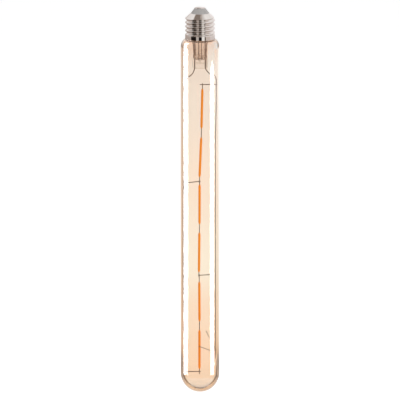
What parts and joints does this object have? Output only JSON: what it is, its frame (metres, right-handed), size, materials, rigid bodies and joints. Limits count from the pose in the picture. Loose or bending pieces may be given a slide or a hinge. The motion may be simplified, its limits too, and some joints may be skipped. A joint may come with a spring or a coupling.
{
  "type": "led filament bulb",
  "caption": "Tubular LED filament bulb: amber glass tube with a round end, a straight row of filaments on support wires, and a screw cap.",
  "frame": {"origin": "middle of the centre contact's outer face", "axes": "+Z along the bulb's axis, out of the screw cap towards the lampholder; the glass tube hangs along -Z; +X to the right in the picture's view, +Y away from the viewer"},
  "size_m": [0.034, 0.034, 0.346],
  "materials": {
    "amber_glass": "clear blown glass with an amber tint, polished",
    "stem_glass": "clear pressed lead-free glass, polished",
    "nickel": "bright nickel plate",
    "insulator_plastic": "grey moulded insulator, satin",
    "cement": "baked capping cement, matt",
    "lead_metal": "drawn wire, heat-darkened",
    "wire_metal": "drawn nickel-plated wire, satin",
    "pin_metal": "punched strip, satin",
    "filament_coating": "orange silicone and phosphor coating, satin",
    "board": "green glass-fibre board",
    "chip_plastic": "black moulded package",
    "can_metal": "sleeved aluminium can",
    "resistor_body": "lacquered ceramic body",
    "wire_sleeve": "insulated wire"
  },
  "bodies": {
    "root": {"glass_envelope": "amber_glass", "glass_stem": "stem_glass", "lead_wire_left": "lead_metal", "lead_wire_right": "lead_metal", "support_wire_left": "wire_metal", "support_wire_right": "wire_metal", "top_jumper_wire": "wire_metal", "upper_left_jumper_wire": "wire_metal", "lower_right_jumper_wire": "wire_metal", "bottom_jumper_wire": "wire_metal", "brace_wire": "wire_metal", "led_filament_1": "filament_coating", "filament_pins_1": "pin_metal", "led_filament_2": "filament_coating", "filament_pins_2": "pin_metal", "led_filament_3": "filament_coating", "filament_pins_3": "pin_metal", "led_filament_4": "filament_coating", "filament_pins_4": "pin_metal", "led_filament_5": "filament_coating", "filament_pins_5": "pin_metal", "led_filament_6": "filament_coating", "filament_pins_6": "pin_metal", "cap_shell": "nickel", "centre_contact": "nickel", "cap_insulator": "insulator_plastic", "cap_cement": "cement", "driver_board": "board", "bridge_rectifier": "chip_plastic", "driver_chip": "chip_plastic", "smoothing_capacitor": "can_metal", "fuse_resistor": "resistor_body", "live_wire": "wire_sleeve", "neutral_wire": "wire_sleeve"}
  },
  "joints": []
}
